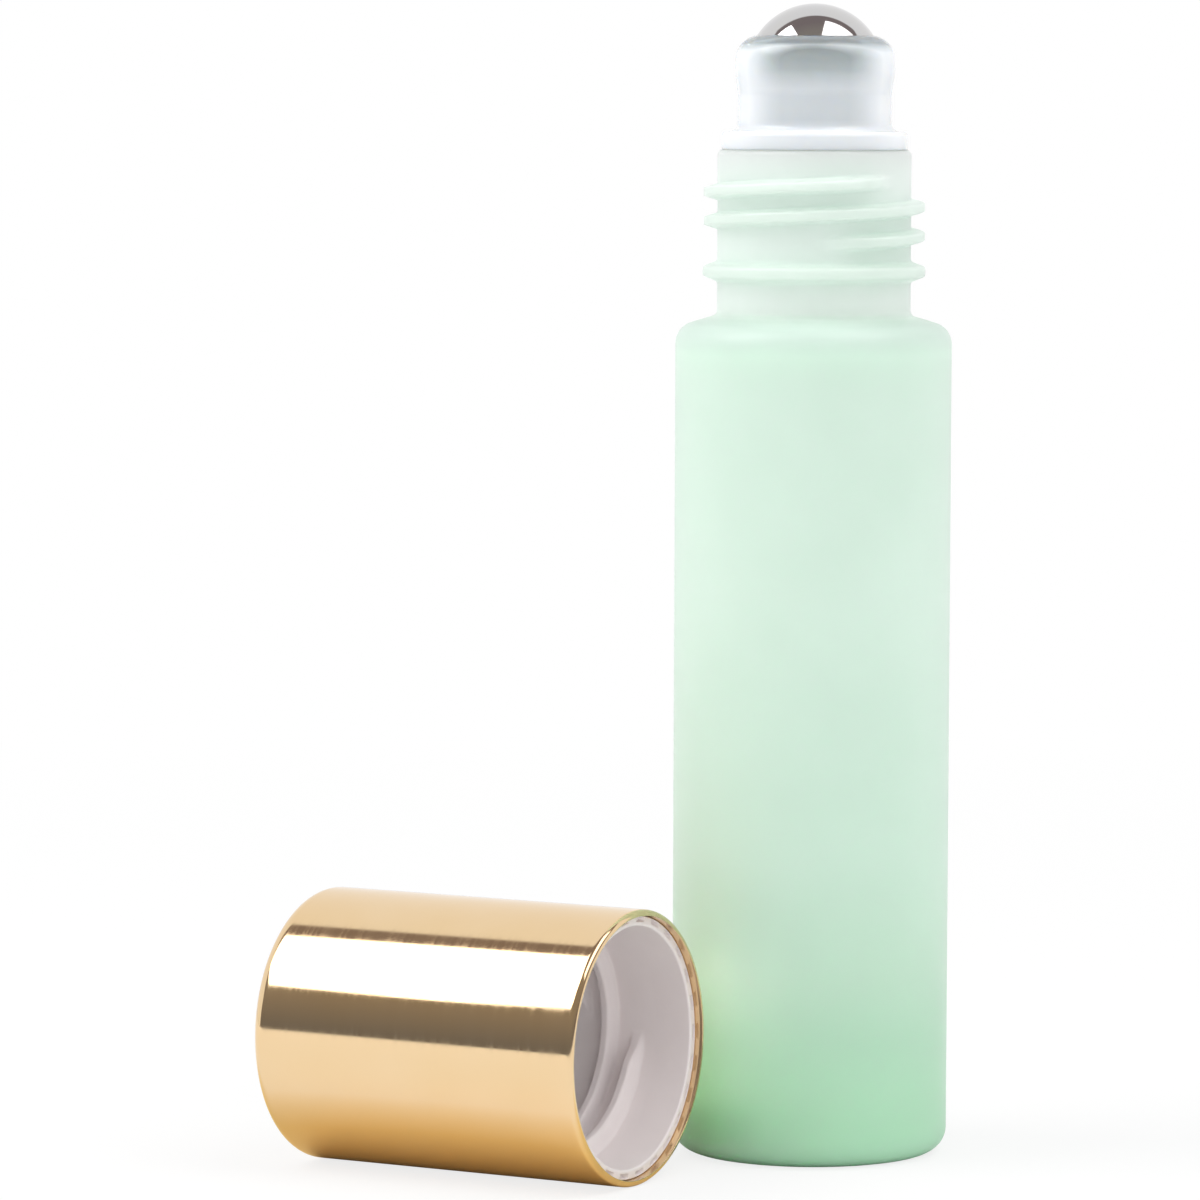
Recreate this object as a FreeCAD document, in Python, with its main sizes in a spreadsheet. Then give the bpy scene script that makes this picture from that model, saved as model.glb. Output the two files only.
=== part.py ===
"""Roll-on bottle: a tinted glass bottle with a ball applicator and its screw cap, taken off.

All lengths are millimetres. The origin is the centre of the bottle's base, +Z runs up the
bottle's axis, and the cap lies on the same surface beside the bottle with its mouth to +X.
"""

import FreeCAD, Part
import math
import os
import Sketcher

# Driving dimensions: name, value and what it measures
SIZES = (
    ("body_diameter", 20.0, "outside of the glass body"),
    ("body_wall", 2.1, "thickness of the body wall"),
    ("base_thickness", 3.0, "height of the cavity floor above the table"),
    ("heel_radius", 1.8, "rounding where the wall meets the base"),
    ("foot_ring_width", 1.7, "width of the flat ring that the bottle stands on"),
    ("push_up_depth", 0.7, "height of the hollow inside that ring"),
    ("push_up_slope", 1.2, "width of the hollow's sloping edge"),
    ("cavity_corner_radius", 2.0, "rounding at the cavity floor"),
    ("wall_height", 60.0, "height of the shoulder's outer corner"),
    ("shoulder_rise", 0.9, "rise of the shoulder from that corner to the neck"),
    ("shoulder_radius", 1.6, "rounding of the shoulder's outer corner"),
    ("shoulder_wall", 2.2, "glass under the shoulder's outer corner"),
    ("cavity_shoulder_rise", 1.8, "rise of the cavity from the wall to the neck bore"),
    ("neck_diameter", 14.0, "outside of the plain neck"),
    ("neck_wall", 1.9, "thickness of the neck wall"),
    ("neck_fillet_radius", 0.45, "rounding where the neck leaves the shoulder"),
    ("bead_height", 3.15, "height of the bead's middle above the shoulder"),
    ("bead_projection", 1.05, "reach of the bead past the neck"),
    ("bead_width", 1.5, "width of the bead at the neck"),
    ("bead_crest", 0.7, "width of the bead's crest"),
    ("bead_rounding", 0.28, "rounding of the bead's edges"),
    ("thread_gap", 2.05, "height of the thread's start above the bead's middle"),
    ("thread_projection", 1.0, "reach of the thread past the neck"),
    ("thread_pitch", 2.1, "rise of the thread in one turn"),
    ("thread_turns", 2.15, "turns of the thread on the neck"),
    ("thread_width", 1.3, "width of a thread ridge at its root"),
    ("thread_crest", 0.5, "width of a thread ridge at its crest"),
    ("thread_start_angle", -61.0, "turn of the neck thread's start from +X, in degrees"),
    ("root_overlap", 0.3, "depth to which a ridge is rooted in its wall"),
    ("lip_height", 2.235, "height of the lip above the thread's end"),
    ("lip_radius", 0.45, "rounding of the lip"),
    ("ball_diameter", 10.0, "steel ball"),
    ("ball_clearance", 0.05, "running gap between ball and socket"),
    ("ball_rise", 4.2, "height of the ball's centre above the flange"),
    ("flange_inset", 0.25, "distance of the housing's flange inside the neck's outside"),
    ("flange_ledge", 1.0, "least width of the flange outside the waist"),
    ("flange_thickness", 1.3, "thickness of that flange"),
    ("flange_radius", 0.35, "rounding of the flange's upper edge"),
    ("cup_wall", 0.73, "wall of the housing around the ball's middle"),
    ("cup_rise", 2.7, "height of the housing's top above the ball's centre"),
    ("cup_round_radius", 1.8, "rounding of the housing's top"),
    ("waist_inset", 0.21, "distance of the housing's waist inside its widest part"),
    ("waist_drop", 1.6, "depth of the waist's upper end below the ball's centre"),
    ("waist_fillet_radius", 0.6, "rounding between flange and waist"),
    ("plug_length", 7.5, "reach of the housing into the neck"),
    ("plug_clearance", 0.25, "gap between the plug and the neck bore"),
    ("plug_wall", 0.9, "thickness of the plug"),
    ("plug_lead_in", 0.4, "chamfer at the plug's lower end"),
    ("floor_thickness", 1.0, "thickness of the housing under the ball"),
    ("feed_ledge", 0.9, "width of that floor around the hole that feeds the ball"),
    ("seal_clearance", 0.02, "gap between the plug's seal rings and the neck bore"),
    ("seal_width", 0.9, "width of a seal ring at the plug"),
    ("seal_crest", 0.3, "width of a seal ring's crest"),
    ("seal_height", 1.6, "height of the lowest seal ring above the plug's end"),
    ("seal_pitch", 1.9, "distance from one seal ring to the next"),
    ("seal_count", 3, "number of seal rings"),
    ("mouth_clearance", 0.55, "gap between the liner's mouth and the bead"),
    ("mouth_depth", 3.4, "depth of the liner's mouth inside the cap's rim"),
    ("mouth_taper", 6.0, "length of the taper from the mouth to the liner's bore"),
    ("liner_wall", 0.73, "thickness of the liner at its mouth"),
    ("liner_recess", 0.6, "distance of the liner's end inside the cap's rim"),
    ("liner_top", 1.5, "thickness of the liner's closed end"),
    ("liner_clearance", 0.02, "gap between the liner and the metal shell"),
    ("thread_clearance", 0.35, "gap between the cap's thread and the neck's"),
    ("cap_thread_run_in", 1.5, "distance from the mouth to the start of the cap's thread"),
    ("cap_thread_turns", 2.0, "turns of the thread in the cap"),
    ("pad_diameter", 6.0, "pad in the cap that keeps the ball shut"),
    ("pad_height", 2.1, "height of that pad"),
    ("pad_clearance", 0.1, "gap between pad and ball when the cap is screwed home"),
    ("notch_width", 0.9, "width of a notch in the liner's rim"),
    ("notch_radial", 0.3, "size of a notch across the rim"),
    ("notch_inset", 0.1, "distance of the notches inside the liner's outside"),
    ("notch_depth", 0.35, "depth of a notch"),
    ("notch_count", 26, "number of notches"),
    ("shell_wall", 0.45, "thickness of the metal shell"),
    ("cap_round_radius", 1.1, "rounding of the shell's closed end"),
    ("rim_radius", 0.4, "rounding of the shell's rim"),
    ("rim_land", 0.05, "least flat left beside that rounding"),
    ("closed_gap", 0.3, "gap between rim and shoulder when the cap is screwed home"),
    ("cap_gap", 0.9, "space between the lying cap and the bottle, seen along X"),
    ("cap_setback", 2.7, "distance of the cap's mouth behind the bottle's axis"),
)

DOC = FreeCAD.newDocument("roll_on_bottle")
SHEET = DOC.addObject("Spreadsheet::Sheet", "sizes")

# Radii and heights of the bottle that the other pieces follow
BODY_R = "sizes.body_diameter / 2"
NECK_R = "sizes.neck_diameter / 2"
BORE_R = f"({NECK_R} - sizes.neck_wall)"
BEAD_R = f"({NECK_R} + sizes.bead_projection)"
THREAD_R = f"({NECK_R} + sizes.thread_projection)"
SHOULDER_Z = "(sizes.wall_height + sizes.shoulder_rise)"
BEAD_Z = f"({SHOULDER_Z} + sizes.bead_height)"
THREAD_Z = f"({BEAD_Z} + sizes.thread_gap)"
LIP_Z = f"({THREAD_Z} + sizes.thread_pitch * sizes.thread_turns + sizes.lip_height)"

# The ball, its socket and the housing around it, which follows both the ball and the neck
BALL_R = "sizes.ball_diameter / 2"
SOCKET_R = f"({BALL_R} + sizes.ball_clearance)"
BALL_Z = f"({LIP_Z} + sizes.flange_thickness + sizes.ball_rise)"
CUP_R = f"({SOCKET_R} + sizes.cup_wall)"
WAIST_R = f"({CUP_R} - sizes.waist_inset)"
FLANGE_R = f"max({NECK_R} - sizes.flange_inset; {WAIST_R} + sizes.flange_ledge)"

# The cap, measured inwards from its rim, fits over the neck and shuts on the ball
MOUTH_R = f"({BEAD_R} + sizes.mouth_clearance)"
LINER_BORE_R = f"({THREAD_R} + sizes.thread_clearance)"
LINER_R = f"({MOUTH_R} + sizes.liner_wall)"
SHELL_BORE_R = f"({LINER_R} + sizes.liner_clearance)"
CAP_R = f"({SHELL_BORE_R} + sizes.shell_wall)"
PAD_DEPTH = f"({BALL_Z} + {BALL_R} + sizes.pad_clearance - {SHOULDER_Z} - sizes.closed_gap)"
LINER_FLOOR = f"({PAD_DEPTH} + sizes.pad_height)"
LINER_END = f"({LINER_FLOOR} + sizes.liner_top)"
CAP_LENGTH = f"({LINER_END} + sizes.shell_wall)"
CAP_INNER_ROUND = "(sizes.cap_round_radius - sizes.shell_wall)"

WHOLE_TURN = 360.0
HALF_TURN = 180.0
SAME_PLACE = 1e-4
LEAST_CHANGE = 1e-3


def fill_sheet():
    """Write every driving dimension, with its alias and meaning, to the sheet."""
    for row, (alias, value, meaning) in enumerate(SIZES, start=1):
        SHEET.set(f"A{row}", meaning)
        SHEET.set(f"B{row}", str(value))
        SHEET.setAlias(f"B{row}", alias)
    DOC.recompute()


def value_of(expression):
    """Give the number that an expression on the sheet has now."""
    return float(SHEET.evalExpression(expression))


def new_body(label):
    """Start an empty body with the label that names its file."""
    body = DOC.addObject("PartDesign::Body", label)
    body.Label = label
    return body


def new_sketch(body, name, role="XZ_Plane"):
    """Start a sketch on one of the body's own origin planes."""
    sketch = body.newObject("Sketcher::SketchObject", name)
    plane = next(item for item in body.Origin.OriginFeatures if item.Role == role)
    sketch.AttachmentSupport = (plane, "")
    sketch.MapMode = "FlatFace"
    return sketch


def bind(sketch, name, constraint, expression):
    """Add a named constraint whose size follows an expression."""
    sketch.renameConstraint(sketch.addConstraint(constraint), name)
    sketch.setExpression(f"Constraints.{name}", expression)


def place_corner(sketch, line, across, up):
    """Hold the start of a line at a place given by two expressions; "0" is the axis itself."""
    for kind, axis, expression in (("DistanceX", -2, across), ("DistanceY", -1, up)):
        if expression == "0":
            sketch.addConstraint(Sketcher.Constraint("PointOnObject", line, 1, axis))
        else:
            distance = Sketcher.Constraint(kind, -1, 1, line, 1, value_of(expression))
            bind(sketch, f"{kind}_{line}", distance, expression)


def outline(body, name, corners, role="XZ_Plane"):
    """Draw a closed straight-sided outline through corners given as pairs of expressions."""
    sketch = new_sketch(body, name, role)
    points = [FreeCAD.Vector(value_of(across), value_of(up), 0) for across, up in corners]
    for start, end in zip(points, points[1:] + points[:1]):
        sketch.addGeometry(Part.LineSegment(start, end))
    for line, (across, up) in enumerate(corners):
        following = (line + 1) % len(corners)
        sketch.addConstraint(Sketcher.Constraint("Coincident", line, 2, following, 1))
        place_corner(sketch, line, across, up)
    return sketch


def half_disc(body, name, radius, middle):
    """Draw half a disc whose straight side lies on the upright axis."""
    sketch = new_sketch(body, name)
    reach = value_of(radius)
    height = value_of(middle)
    circle = Part.Circle(FreeCAD.Vector(0, height, 0), FreeCAD.Vector(0, 0, 1), reach)
    top = FreeCAD.Vector(0, height + reach, 0)
    bottom = FreeCAD.Vector(0, height - reach, 0)
    arc = sketch.addGeometry(Part.ArcOfCircle(circle, -math.pi / 2, math.pi / 2))
    side = sketch.addGeometry(Part.LineSegment(top, bottom))
    sketch.addConstraint(Sketcher.Constraint("Coincident", arc, 2, side, 1))
    sketch.addConstraint(Sketcher.Constraint("Coincident", side, 2, arc, 1))
    for point in (1, 2, 3):
        sketch.addConstraint(Sketcher.Constraint("PointOnObject", arc, point, -2))
    bind(sketch, "radius", Sketcher.Constraint("Radius", arc, reach), radius)
    bind(sketch, "middle", Sketcher.Constraint("DistanceY", -1, 1, arc, 3, height), middle)
    return sketch


def settle(body, feature, grows):
    """Recompute with a new feature and make sure that it changed the volume the right way."""
    before = 0.0 if body.Shape.isNull() else body.Shape.Volume
    body.Tip = feature
    DOC.recompute()
    change = body.Shape.Volume - before
    if (change if grows else -change) < LEAST_CHANGE:
        raise RuntimeError(f"{feature.Label} changed the volume by {change:.4f} mm3")
    return feature


def turn(body, name, sketch, kind="Revolution", axis="V_Axis", angle=WHOLE_TURN, reverse=False):
    """Turn a sketch about one of its own axes, to add material or, as a Groove, to take it away."""
    feature = body.newObject(f"PartDesign::{kind}", name)
    feature.Profile = sketch
    feature.ReferenceAxis = (sketch, [axis])
    feature.Angle = angle
    feature.Reversed = reverse
    return settle(body, feature, kind == "Revolution")


def circles_at(shape, places):
    """Name the edges of a turned shape that run round its axis at given radii and heights."""
    wanted = [(value_of(across), value_of(up)) for across, up in places]
    names = []
    for number, edge in enumerate(shape.Edges, start=1):
        if not isinstance(edge.Curve, Part.Circle):
            continue
        across = edge.Curve.Radius
        up = edge.Curve.Center.z
        if any(math.hypot(across - r, up - z) < SAME_PLACE for r, z in wanted):
            names.append(f"Edge{number}")
    return names


def soften(body, name, size, places, kind="Fillet"):
    """Round, or chamfer, the circular edges at the given places."""
    base = body.Tip
    feature = body.newObject(f"PartDesign::{kind}", name)
    feature.Base = (base, circles_at(base.Shape, places))
    feature.setExpression("Radius" if kind == "Fillet" else "Size", size)
    DOC.recompute()


def ridge(root_r, wall_r, crest_r, middle, width, crest):
    """Give the corners of a ridge's section, rooted in its wall and narrower at its crest."""
    lower = [
        (root_r, f"{middle} - {width} / 2"),
        (wall_r, f"{middle} - {width} / 2"),
        (crest_r, f"{middle} - {crest} / 2"),
    ]
    upper = [
        (crest_r, f"{middle} + {crest} / 2"),
        (wall_r, f"{middle} + {width} / 2"),
        (root_r, f"{middle} + {width} / 2"),
    ]
    return lower + upper


def thread_nose(body, name, radii, height, angle, reverse):
    """Round off one end of a thread: half of its section, turned half round a radial line."""
    root_r, wall_r, crest_r = radii
    half_width = "sizes.thread_width / 2"
    corners = [
        (root_r, "0"),
        (root_r, half_width),
        (wall_r, half_width),
        (crest_r, "sizes.thread_crest / 2"),
        (crest_r, "0"),
    ]
    sketch = outline(body, name + "_section", corners)
    sketch.AttachmentOffset = FreeCAD.Placement(
        FreeCAD.Vector(0, value_of(height), 0),
        FreeCAD.Rotation(FreeCAD.Vector(0, 1, 0), value_of(angle)),
    )
    sketch.setExpression("AttachmentOffset.Base.y", height)
    sketch.setExpression("AttachmentOffset.Rotation.Angle", angle)
    turn(body, name, sketch, axis="H_Axis", angle=HALF_TURN, reverse=reverse)


def add_thread(body, radii, start, turns):
    """Wind a right-handed thread ridge round the axis and round off both of its ends.

    radii are those of the ridge's root, of the wall that it stands on and of its crest.
    """
    name = body.Label + "_thread"
    corners = ridge(*radii, start, "sizes.thread_width", "sizes.thread_crest")
    section = outline(body, name + "_section", corners)
    coil = body.newObject("PartDesign::AdditiveHelix", name)
    coil.Profile = section
    coil.ReferenceAxis = (section, ["V_Axis"])
    coil.Mode = "pitch-turns-angle"
    coil.setExpression("Pitch", "sizes.thread_pitch")
    coil.setExpression("Turns", turns)
    settle(body, coil, True)
    end = f"({start} + sizes.thread_pitch * {turns})"
    thread_nose(body, name + "_start", radii, start, "0", False)
    thread_nose(body, name + "_end", radii, end, f"{WHOLE_TURN} * {turns}", True)


def glass_bottle():
    """Make the bottle in one piece: body, shoulder, and a neck with a bead and a thread."""
    body = new_body("glass_bottle")
    cavity_r = f"({BODY_R} - sizes.body_wall)"
    cavity_top = "(sizes.wall_height - sizes.shoulder_wall)"
    push_up_r = f"({BODY_R} - sizes.heel_radius - sizes.foot_ring_width)"
    corners = [
        ("0", "sizes.push_up_depth"),
        (f"{push_up_r} - sizes.push_up_slope", "sizes.push_up_depth"),
        (push_up_r, "0"),
        (BODY_R, "0"),
        (BODY_R, "sizes.wall_height"),
        (NECK_R, SHOULDER_Z),
        (NECK_R, LIP_Z),
        (BORE_R, LIP_Z),
        (BORE_R, f"{cavity_top} + sizes.cavity_shoulder_rise"),
        (cavity_r, cavity_top),
        (cavity_r, "sizes.base_thickness"),
        ("0", "sizes.base_thickness"),
    ]
    turn(body, "bottle_wall", outline(body, "bottle_section", corners))
    shoulder_round = f"min(sizes.shoulder_radius; {BODY_R} - {NECK_R} - sizes.neck_fillet_radius)"
    soften(body, "heel", "sizes.heel_radius", [(BODY_R, "0")])
    soften(body, "shoulder", shoulder_round, [(BODY_R, "sizes.wall_height")])
    soften(body, "neck_foot", "sizes.neck_fillet_radius", [(NECK_R, SHOULDER_Z)])
    soften(body, "lip", "sizes.lip_radius", [(NECK_R, LIP_Z)])
    soften(body, "cavity_corner", "sizes.cavity_corner_radius", [(cavity_r, "sizes.base_thickness")])

    root_r = f"({NECK_R} - sizes.root_overlap)"
    bead = ridge(root_r, NECK_R, BEAD_R, BEAD_Z, "sizes.bead_width", "sizes.bead_crest")
    turn(body, "bead", outline(body, "bead_section", bead))
    bead_edges = [place for place in bead if place[0] != root_r]
    soften(body, "bead_edges", "sizes.bead_rounding", bead_edges)
    add_thread(body, (root_r, NECK_R, THREAD_R), THREAD_Z, "sizes.thread_turns")

    start_angle = "sizes.thread_start_angle"
    body.Placement.Rotation = FreeCAD.Rotation(FreeCAD.Vector(0, 0, 1), value_of(start_angle))
    body.setExpression("Placement.Rotation.Angle", start_angle)
    return body


def roller_housing():
    """Mould the housing: a plug for the neck, a flange for the lip and a socket for the ball."""
    body = new_body("roller_housing")
    plug_r = f"({BORE_R} - sizes.plug_clearance)"
    plug_bore_r = f"({plug_r} - sizes.plug_wall)"
    feed_r = f"({plug_bore_r} - sizes.feed_ledge)"
    flange_top = "(sizes.plug_length + sizes.flange_thickness)"
    ball_z = f"({flange_top} + sizes.ball_rise)"
    cup_top = f"({ball_z} + sizes.cup_rise)"
    floor_z = f"({ball_z} - {SOCKET_R} - sizes.floor_thickness)"
    corners = [
        (plug_bore_r, "0"),
        (plug_r, "0"),
        (plug_r, "sizes.plug_length"),
        (FLANGE_R, "sizes.plug_length"),
        (FLANGE_R, flange_top),
        (WAIST_R, flange_top),
        (WAIST_R, f"{ball_z} - sizes.waist_drop"),
        (CUP_R, ball_z),
        (CUP_R, cup_top),
        (feed_r, cup_top),
        (feed_r, floor_z),
        (plug_bore_r, floor_z),
    ]
    turn(body, "housing_wall", outline(body, "housing_section", corners))
    soften(body, "flange_edge", "sizes.flange_radius", [(FLANGE_R, flange_top)])
    soften(body, "waist_foot", "sizes.waist_fillet_radius", [(WAIST_R, flange_top)])
    soften(body, "cup_round", "sizes.cup_round_radius", [(CUP_R, cup_top)])
    soften(body, "plug_end", "sizes.plug_lead_in", [(plug_r, "0")], kind="Chamfer")

    ring_r = f"({BORE_R} - sizes.seal_clearance)"
    root_r = f"({plug_r} - sizes.root_overlap)"
    ring = ridge(root_r, plug_r, ring_r, "sizes.seal_height", "sizes.seal_width", "sizes.seal_crest")
    seal_section = outline(body, "seal_section", ring)
    seal = turn(body, "seal_ring", seal_section)
    seals = body.newObject("PartDesign::LinearPattern", "seal_rings")
    seals.Originals = [seal]
    seals.Direction = (seal_section, ["V_Axis"])
    seals.Mode = "Spacing"
    seals.setExpression("Offset", "sizes.seal_pitch")
    seals.setExpression("Occurrences", "sizes.seal_count")
    settle(body, seals, True)

    turn(body, "socket", half_disc(body, "socket_section", SOCKET_R, ball_z), kind="Groove")
    body.setExpression("Placement.Base.z", f"{LIP_Z} - sizes.plug_length")
    return body


def roller_ball():
    """Place the steel ball in the middle of its socket."""
    ball = DOC.addObject("Part::Sphere", "roller_ball")
    ball.Label = "roller_ball"
    ball.setExpression("Radius", BALL_R)
    ball.setExpression("Placement.Base.z", BALL_Z)
    return ball


def lay_down(body):
    """Lay a cap piece on its side, with its mouth to +X and its thread's start to +Y."""
    sideways = FreeCAD.Vector(0, 1, 0)
    down = FreeCAD.Vector(0, 0, -1)
    back = FreeCAD.Vector(-1, 0, 0)
    body.Placement.Rotation = FreeCAD.Rotation(sideways, down, back, "ZXY")
    body.setExpression("Placement.Base.x", "-sizes.cap_setback")
    body.setExpression("Placement.Base.y", f"-({BODY_R} + sizes.cap_gap + {CAP_R})")
    body.setExpression("Placement.Base.z", CAP_R)
    return body


def cap_shell():
    """Draw the cap's metal cup, from its rim to its closed end."""
    body = new_body("cap_shell")
    corners = [
        (SHELL_BORE_R, "0"),
        (CAP_R, "0"),
        (CAP_R, CAP_LENGTH),
        ("0", CAP_LENGTH),
        ("0", LINER_END),
        (SHELL_BORE_R, LINER_END),
    ]
    turn(body, "shell_wall", outline(body, "shell_section", corners))
    soften(body, "shell_top", "sizes.cap_round_radius", [(CAP_R, CAP_LENGTH)])
    soften(body, "shell_inside", CAP_INNER_ROUND, [(SHELL_BORE_R, LINER_END)])
    rim_round = "min(sizes.rim_radius; sizes.shell_wall - sizes.rim_land)"
    soften(body, "shell_rim", rim_round, [(CAP_R, "0")])
    return lay_down(body)


def cap_liner():
    """Mould the cap's liner: a threaded cup with a pad for the ball and a notched rim."""
    body = new_body("cap_liner")
    pad_r = "sizes.pad_diameter / 2"
    corners = [
        (MOUTH_R, "sizes.liner_recess"),
        (LINER_R, "sizes.liner_recess"),
        (LINER_R, LINER_END),
        ("0", LINER_END),
        ("0", PAD_DEPTH),
        (pad_r, PAD_DEPTH),
        (pad_r, LINER_FLOOR),
        (LINER_BORE_R, LINER_FLOOR),
        (LINER_BORE_R, "sizes.mouth_depth + sizes.mouth_taper"),
        (MOUTH_R, "sizes.mouth_depth"),
    ]
    turn(body, "liner_wall", outline(body, "liner_section", corners))
    soften(body, "liner_top", CAP_INNER_ROUND, [(LINER_R, LINER_END)])

    root_r = f"(max({LINER_BORE_R}; {MOUTH_R}) + sizes.root_overlap)"
    crest_r = f"(max({NECK_R}; {FLANGE_R}) + sizes.thread_clearance)"
    thread_start = "(sizes.mouth_depth + sizes.cap_thread_run_in)"
    add_thread(body, (root_r, LINER_BORE_R, crest_r), thread_start, "sizes.cap_thread_turns")

    half_width = "sizes.notch_width / 2"
    outer = f"{LINER_R} - sizes.notch_inset"
    inner = f"{outer} - sizes.notch_radial"
    corners = [(inner, f"-{half_width}"), (outer, f"-{half_width}"), (outer, half_width), (inner, half_width)]
    section = outline(body, "notch_section", corners, "XY_Plane")
    section.setExpression("AttachmentOffset.Base.z", "sizes.liner_recess")
    notch = body.newObject("PartDesign::Pocket", "notch")
    notch.Profile = section
    notch.Reversed = True
    notch.setExpression("Length", "sizes.notch_depth")
    settle(body, notch, False)
    notches = body.newObject("PartDesign::PolarPattern", "notches")
    notches.Originals = [notch]
    notches.Axis = (section, ["N_Axis"])
    notches.Angle = WHOLE_TURN
    notches.setExpression("Occurrences", "sizes.notch_count")
    settle(body, notches, False)
    return lay_down(body)


def write_parts(pieces):
    """Check the whole document, then write one file for each piece."""
    for item in DOC.Objects:
        if "Invalid" in item.State or "Error" in item.State:
            raise RuntimeError(f"{item.Label} failed: {item.State}")
    for piece in pieces:
        if piece.Shape.isNull() or not piece.Shape.isValid() or len(piece.Shape.Solids) != 1:
            raise RuntimeError(f"{piece.Label} isn't one valid solid")
    os.makedirs("parts", exist_ok=True)
    for piece in pieces:
        piece.Shape.exportStep(f"parts/{piece.Label}.step")
        print(f"{piece.Label}: {piece.Shape.Volume:.2f} mm3")


def main():
    """Fill the sheet, build every piece and write the files."""
    fill_sheet()
    pieces = [glass_bottle(), roller_housing(), roller_ball(), cap_shell(), cap_liner()]
    DOC.recompute()
    write_parts(pieces)


main()
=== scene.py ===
"""Looks of the roll-on bottle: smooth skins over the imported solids, their finishes, a studio and a camera.

Sizes are millimetres in the classes and metres in the meshes. The frame is the part's own: the origin
lies under the bottle, +Z runs up its axis, and the cap lies on its side with its mouth to +X.
"""

from __future__ import annotations

import logging
import math
from abc import ABC, abstractmethod
from collections.abc import Mapping, Sequence
from dataclasses import dataclass
from enum import Enum
from typing import Any, ClassVar

import bpy
import numpy as np
from mathutils import Matrix


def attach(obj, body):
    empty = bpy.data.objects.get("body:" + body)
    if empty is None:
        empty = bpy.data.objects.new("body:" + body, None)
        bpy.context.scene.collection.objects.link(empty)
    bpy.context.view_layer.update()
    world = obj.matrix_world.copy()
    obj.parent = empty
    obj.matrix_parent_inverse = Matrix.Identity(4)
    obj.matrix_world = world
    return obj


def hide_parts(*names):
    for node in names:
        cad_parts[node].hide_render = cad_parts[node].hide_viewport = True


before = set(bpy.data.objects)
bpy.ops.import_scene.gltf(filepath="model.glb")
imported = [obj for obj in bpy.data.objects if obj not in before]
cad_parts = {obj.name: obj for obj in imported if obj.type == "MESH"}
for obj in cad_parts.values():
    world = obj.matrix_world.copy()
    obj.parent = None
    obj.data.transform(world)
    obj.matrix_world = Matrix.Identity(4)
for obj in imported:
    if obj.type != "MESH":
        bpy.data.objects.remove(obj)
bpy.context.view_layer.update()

LOG = logging.getLogger("roll_on_bottle")
MM = 0.001
TURN = 2.0 * math.pi
UP = np.array((0.0, 0.0, 1.0))
# A rounding has a row every few degrees, and a row near each end of a straight run keeps it flat
ARC_STEP = math.radians(8.0)
GUARD = 0.1
# Slack in comparing two sizes
SLACK = 0.01
WHITE = "#FFFFFF"
# Most of a noise lies between these two values
NOISE_SPAN = (0.3, 0.7)

# Kinds of node that are used often, and the inputs of a mix of colours
PLACE = "ShaderNodeTexCoord"
SPLIT = "ShaderNodeSeparateXYZ"
NOISE = "ShaderNodeTexNoise"
RANGE = "ShaderNodeMapRange"
MATH = "ShaderNodeMath"
VECTOR = "ShaderNodeVectorMath"
BUMP = "ShaderNodeBump"
MIX = "ShaderNodeMix"
SHARE = 0
FIRST = 6
SECOND = 7

Array = np.ndarray
Colour = tuple[float, float, float, float]
Tree = bpy.types.NodeTree
Node = bpy.types.Node
Socket = bpy.types.NodeSocket
Object = bpy.types.Object


class Body(Enum):
    """The bodies of the part that a skin can ride on."""

    BOTTLE = "bottle"
    BALL = "ball"
    CAP = "cap"


class Side(Enum):
    """The side of the camera on which a lamp stands, as a sign."""

    LEFT = -1.0
    RIGHT = 1.0


def linear(code: str) -> Colour:
    """Turn an sRGB hex colour into linear light.

    Args:
        code: Six hex digits after a hash.

    Returns:
        Red, green and blue in linear light, and an alpha of 1.
    """
    shares = np.array([int(code[at:at + 2], 16) for at in (1, 3, 5)]) / 255.0
    light = np.where(shares <= 0.04045, shares / 12.92, ((shares + 0.055) / 1.055) ** 2.4)
    return (*map(float, light), 1.0)


def per_metre(size: float) -> float:
    """Give the texture scale whose pattern repeats about once in a size in millimetres."""
    return 1.0 / (size * MM)


def ease(share: Array) -> Array:
    """Ease a share from 0 to 1 along an S curve: three times its square less twice its cube."""
    held = np.clip(share, 0.0, 1.0)
    return held * held * (3.0 - 2.0 * held)


def placed(*columns: Sequence[float]) -> Matrix:
    """Build a placement.

    Args:
        *columns: Its three axes, then its place.

    Returns:
        The placement.
    """
    grid = np.eye(4)
    grid[:3] = np.column_stack(columns)
    return Matrix(grid.tolist())


def add_node(tree: Tree, kind: str, inputs: Mapping | Sequence = (), **settings: Any) -> Node:
    """Add one node with its settings, its socket values and its links.

    Args:
        tree: The node tree that gets the node.
        kind: The node's type.
        inputs: The inputs, by name or number or else in order. Each is a value, a socket to link from,
            or a node, whose first output in use is linked.
        **settings: The node's own properties.

    Returns:
        The new node.
    """
    node = tree.nodes.new(kind)
    for name, value in settings.items():
        setattr(node, name, value)
    for key, value in inputs.items() if isinstance(inputs, Mapping) else enumerate(inputs):
        if isinstance(value, Node):
            value = next(socket for socket in value.outputs if socket.enabled)
        if isinstance(value, Socket):
            tree.links.new(value, node.inputs[key])
        else:
            node.inputs[key].default_value = value
    return node


@dataclass(frozen=True)
class Corner:
    """One corner of a turned outline.

    Attributes:
        r: Distance from the axis.
        z: Height along the axis.
        rounding: Radius of the corner; 0 keeps it as a single row.
        step: Longest spacing of the rows on the run that follows.
    """

    r: float
    z: float
    rounding: float = 0.05
    step: float = 3.0

    def point(self) -> Array:
        """Give the corner as a pair of radius and height."""
        return np.array((self.r, self.z))


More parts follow.
